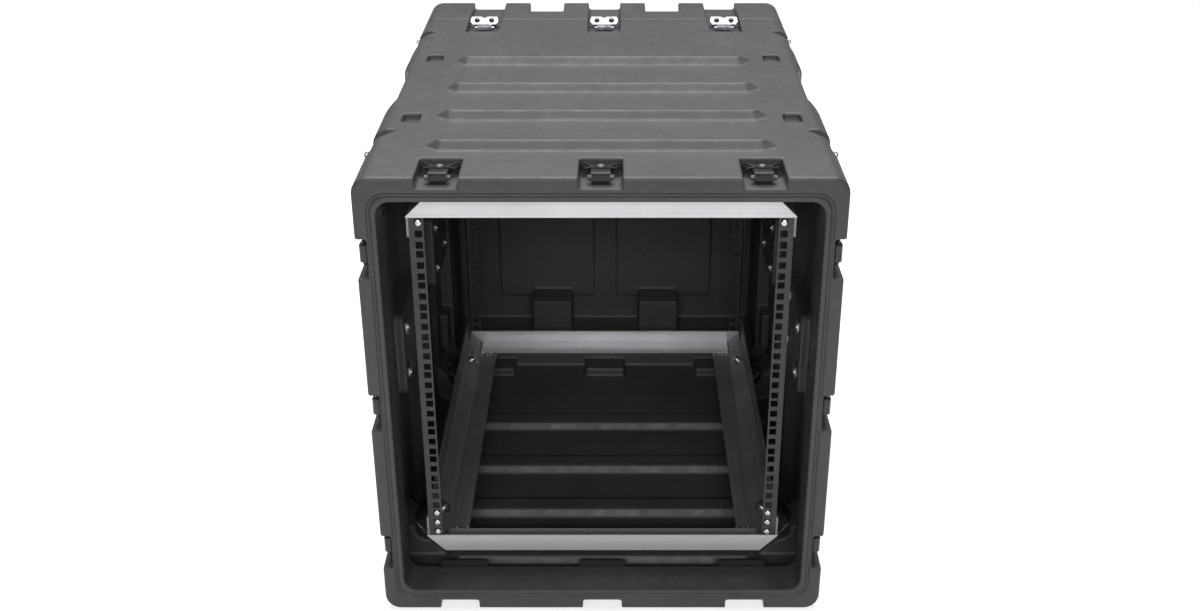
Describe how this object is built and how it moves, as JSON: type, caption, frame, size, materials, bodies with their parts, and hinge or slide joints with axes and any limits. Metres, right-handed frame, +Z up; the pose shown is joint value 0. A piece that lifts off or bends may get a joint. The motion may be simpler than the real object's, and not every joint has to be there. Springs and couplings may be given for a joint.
{
  "type": "equipment rack case",
  "caption": "Moulded plastic transport case with a shock-mounted 19 inch rack frame inside, draw latches, lift handles and a removable rear lid.",
  "frame": {"origin": "middle of the base of the whole case, on the plane the flat base stands on", "axes": "+Z up; +Y runs from the open front to the rear lid; +X is to the right as seen from the open front"},
  "size_m": [0.606, 0.8296, 0.6593],
  "materials": {
    "shell_plastic": "textured charcoal moulded polyethylene",
    "seal_rubber": "black sponge rubber",
    "rail_steel": "dark powder coat",
    "frame_aluminium": "mill finish, brushed along its length",
    "mount_rubber": "black elastomer",
    "latch_black": "black electro-coat, satin",
    "latch_zinc": "bright zinc plate",
    "handle_steel": "black powder coat with a rubbered grip"
  },
  "bodies": {
    "case": {"case_body": "shell_plastic", "front_rail_left": "rail_steel", "front_rail_right": "rail_steel", "rear_rail_left": "rail_steel", "rear_rail_right": "rail_steel", "front_bar_bottom": "frame_aluminium", "front_bar_top": "frame_aluminium", "rear_bar_bottom": "frame_aluminium", "rear_bar_top": "frame_aluminium", "side_member_bottom_left": "frame_aluminium", "side_member_bottom_right": "frame_aluminium", "side_member_top_left": "frame_aluminium", "side_member_top_right": "frame_aluminium", "shock_mount_front_bottom_left": "mount_rubber", "shock_mount_front_bottom_right": "mount_rubber", "shock_mount_front_top_left": "mount_rubber", "shock_mount_front_top_right": "mount_rubber", "shock_mount_rear_bottom_left": "mount_rubber", "shock_mount_rear_bottom_right": "mount_rubber", "shock_mount_rear_top_left": "mount_rubber", "shock_mount_rear_top_right": "mount_rubber", "handle_plate_front_left": "handle_steel", "handle_plate_rear_left": "handle_steel", "handle_plate_front_right": "handle_steel", "handle_plate_rear_right": "handle_steel"},
    "lid": {"rear_lid": "shell_plastic", "lid_seal": "seal_rubber"},
    "lever_front_top_left": {"latch_front_top_left": "latch_black"},
    "lever_front_top_centre": {"latch_front_top_centre": "latch_black"},
    "lever_front_top_right": {"latch_front_top_right": "latch_black"},
    "lever_front_bottom_left": {"latch_front_bottom_left": "latch_black"},
    "lever_front_bottom_centre": {"latch_front_bottom_centre": "latch_black"},
    "lever_front_bottom_right": {"latch_front_bottom_right": "latch_black"},
    "lever_front_left_lower": {"latch_front_left_lower": "latch_black"},
    "lever_front_left_middle": {"latch_front_left_middle": "latch_black"},
    "lever_front_left_upper": {"latch_front_left_upper": "latch_black"},
    "lever_front_right_lower": {"latch_front_right_lower": "latch_black"},
    "lever_front_right_middle": {"latch_front_right_middle": "latch_black"},
    "lever_front_right_upper": {"latch_front_right_upper": "latch_black"},
    "lever_rear_top_left": {"latch_rear_top_left": "latch_zinc"},
    "lever_rear_top_centre": {"latch_rear_top_centre": "latch_zinc"},
    "lever_rear_top_right": {"latch_rear_top_right": "latch_zinc"},
    "lever_rear_bottom_left": {"latch_rear_bottom_left": "latch_zinc"},
    "lever_rear_bottom_centre": {"latch_rear_bottom_centre": "latch_zinc"},
    "lever_rear_bottom_right": {"latch_rear_bottom_right": "latch_zinc"},
    "lever_rear_left_lower": {"latch_rear_left_lower": "latch_zinc"},
    "lever_rear_left_middle": {"latch_rear_left_middle": "latch_zinc"},
    "lever_rear_left_upper": {"latch_rear_left_upper": "latch_zinc"},
    "lever_rear_right_lower": {"latch_rear_right_lower": "latch_zinc"},
    "lever_rear_right_middle": {"latch_rear_right_middle": "latch_zinc"},
    "lever_rear_right_upper": {"latch_rear_right_upper": "latch_zinc"},
    "lift_handle_front_left": {"handle_front_left": "handle_steel"},
    "lift_handle_rear_left": {"handle_rear_left": "handle_steel"},
    "lift_handle_front_right": {"handle_front_right": "handle_steel"},
    "lift_handle_rear_right": {"handle_rear_right": "handle_steel"}
  },
  "joints": [
    {"name": "lid_lift_off", "type": "slide", "parent": "case", "child": "lid", "axis": [0, 1, 0], "range_m": [0, 0.15]},
    {"name": "latch_front_top_left_hinge", "type": "hinge", "parent": "case", "child": "lever_front_top_left", "pos_m": [-0.199, -0.39275, 0.6415], "axis": [1, 0, 0], "range_deg": [0, 110]},
    {"name": "latch_front_top_centre_hinge", "type": "hinge", "parent": "case", "child": "lever_front_top_centre", "pos_m": [0, -0.39275, 0.6415], "axis": [1, 0, 0], "range_deg": [0, 110]},
    {"name": "latch_front_top_right_hinge", "type": "hinge", "parent": "case", "child": "lever_front_top_right", "pos_m": [0.199, -0.39275, 0.6415], "axis": [1, 0, 0], "range_deg": [0, 110]},
    {"name": "latch_front_bottom_left_hinge", "type": "hinge", "parent": "case", "child": "lever_front_bottom_left", "pos_m": [-0.199, -0.39275, 0.0075], "axis": [-1, 0, 0], "range_deg": [0, 110]},
    {"name": "latch_front_bottom_centre_hinge", "type": "hinge", "parent": "case", "child": "lever_front_bottom_centre", "pos_m": [0, -0.39275, 0.0075], "axis": [-1, 0, 0], "range_deg": [0, 110]},
    {"name": "latch_front_bottom_right_hinge", "type": "hinge", "parent": "case", "child": "lever_front_bottom_right", "pos_m": [0.199, -0.39275, 0.0075], "axis": [-1, 0, 0], "range_deg": [0, 110]},
    {"name": "latch_front_left_lower_hinge", "type": "hinge", "parent": "case", "child": "lever_front_left_lower", "pos_m": [-0.2955, -0.39275, 0.0965], "axis": [0, 0, 1], "range_deg": [0, 110]},
    {"name": "latch_front_left_middle_hinge", "type": "hinge", "parent": "case", "child": "lever_front_left_middle", "pos_m": [-0.2955, -0.39275, 0.3185], "axis": [0, 0, 1], "range_deg": [0, 110]},
    {"name": "latch_front_left_upper_hinge", "type": "hinge", "parent": "case", "child": "lever_front_left_upper", "pos_m": [-0.2955, -0.39275, 0.5405], "axis": [0, 0, 1], "range_deg": [0, 110]},
    {"name": "latch_front_right_lower_hinge", "type": "hinge", "parent": "case", "child": "lever_front_right_lower", "pos_m": [0.2955, -0.39275, 0.0965], "axis": [0, 0, -1], "range_deg": [0, 110]},
    {"name": "latch_front_right_middle_hinge", "type": "hinge", "parent": "case", "child": "lever_front_right_middle", "pos_m": [0.2955, -0.39275, 0.3185], "axis": [0, 0, -1], "range_deg": [0, 110]},
    {"name": "latch_front_right_upper_hinge", "type": "hinge", "parent": "case", "child": "lever_front_right_upper", "pos_m": [0.2955, -0.39275, 0.5405], "axis": [0, 0, -1], "range_deg": [0, 110]},
    {"name": "latch_rear_top_left_hinge", "type": "hinge", "parent": "case", "child": "lever_rear_top_left", "pos_m": [-0.199, 0.28125, 0.6415], "axis": [1, 0, 0], "range_deg": [0, 110]},
    {"name": "latch_rear_top_centre_hinge", "type": "hinge", "parent": "case", "child": "lever_rear_top_centre", "pos_m": [0, 0.28125, 0.6415], "axis": [1, 0, 0], "range_deg": [0, 110]},
    {"name": "latch_rear_top_right_hinge", "type": "hinge", "parent": "case", "child": "lever_rear_top_right", "pos_m": [0.199, 0.28125, 0.6415], "axis": [1, 0, 0], "range_deg": [0, 110]},
    {"name": "latch_rear_bottom_left_hinge", "type": "hinge", "parent": "case", "child": "lever_rear_bottom_left", "pos_m": [-0.199, 0.28125, 0.0075], "axis": [-1, 0, 0], "range_deg": [0, 110]},
    {"name": "latch_rear_bottom_centre_hinge", "type": "hinge", "parent": "case", "child": "lever_rear_bottom_centre", "pos_m": [0, 0.28125, 0.0075], "axis": [-1, 0, 0], "range_deg": [0, 110]},
    {"name": "latch_rear_bottom_right_hinge", "type": "hinge", "parent": "case", "child": "lever_rear_bottom_right", "pos_m": [0.199, 0.28125, 0.0075], "axis": [-1, 0, 0], "range_deg": [0, 110]},
    {"name": "latch_rear_left_lower_hinge", "type": "hinge", "parent": "case", "child": "lever_rear_left_lower", "pos_m": [-0.2955, 0.28125, 0.0965], "axis": [0, 0, 1], "range_deg": [0, 110]},
    {"name": "latch_rear_left_middle_hinge", "type": "hinge", "parent": "case", "child": "lever_rear_left_middle", "pos_m": [-0.2955, 0.28125, 0.3185], "axis": [0, 0, 1], "range_deg": [0, 110]},
    {"name": "latch_rear_left_upper_hinge", "type": "hinge", "parent": "case", "child": "lever_rear_left_upper", "pos_m": [-0.2955, 0.28125, 0.5405], "axis": [0, 0, 1], "range_deg": [0, 110]},
    {"name": "latch_rear_right_lower_hinge", "type": "hinge", "parent": "case", "child": "lever_rear_right_lower", "pos_m": [0.2955, 0.28125, 0.0965], "axis": [0, 0, -1], "range_deg": [0, 110]},
    {"name": "latch_rear_right_middle_hinge", "type": "hinge", "parent": "case", "child": "lever_rear_right_middle", "pos_m": [0.2955, 0.28125, 0.3185], "axis": [0, 0, -1], "range_deg": [0, 110]},
    {"name": "latch_rear_right_upper_hinge", "type": "hinge", "parent": "case", "child": "lever_rear_right_upper", "pos_m": [0.2955, 0.28125, 0.5405], "axis": [0, 0, -1], "range_deg": [0, 110]},
    {"name": "handle_front_left_swing", "type": "hinge", "parent": "case", "child": "lift_handle_front_left", "pos_m": [-0.2927, -0.19775, 0.3605], "axis": [0, 1, 0], "range_deg": [0, 90], "stiffness_Nm_per_rad": 0.3},
    {"name": "handle_rear_left_swing", "type": "hinge", "parent": "case", "child": "lift_handle_rear_left", "pos_m": [-0.2927, 0.14525, 0.3605], "axis": [0, 1, 0], "range_deg": [0, 90], "stiffness_Nm_per_rad": 0.3},
    {"name": "handle_front_right_swing", "type": "hinge", "parent": "case", "child": "lift_handle_front_right", "pos_m": [0.2927, -0.19775, 0.3605], "axis": [0, -1, 0], "range_deg": [0, 90], "stiffness_Nm_per_rad": 0.3},
    {"name": "handle_rear_right_swing", "type": "hinge", "parent": "case", "child": "lift_handle_rear_right", "pos_m": [0.2927, 0.14525, 0.3605], "axis": [0, -1, 0], "range_deg": [0, 90], "stiffness_Nm_per_rad": 0.3}
  ]
}
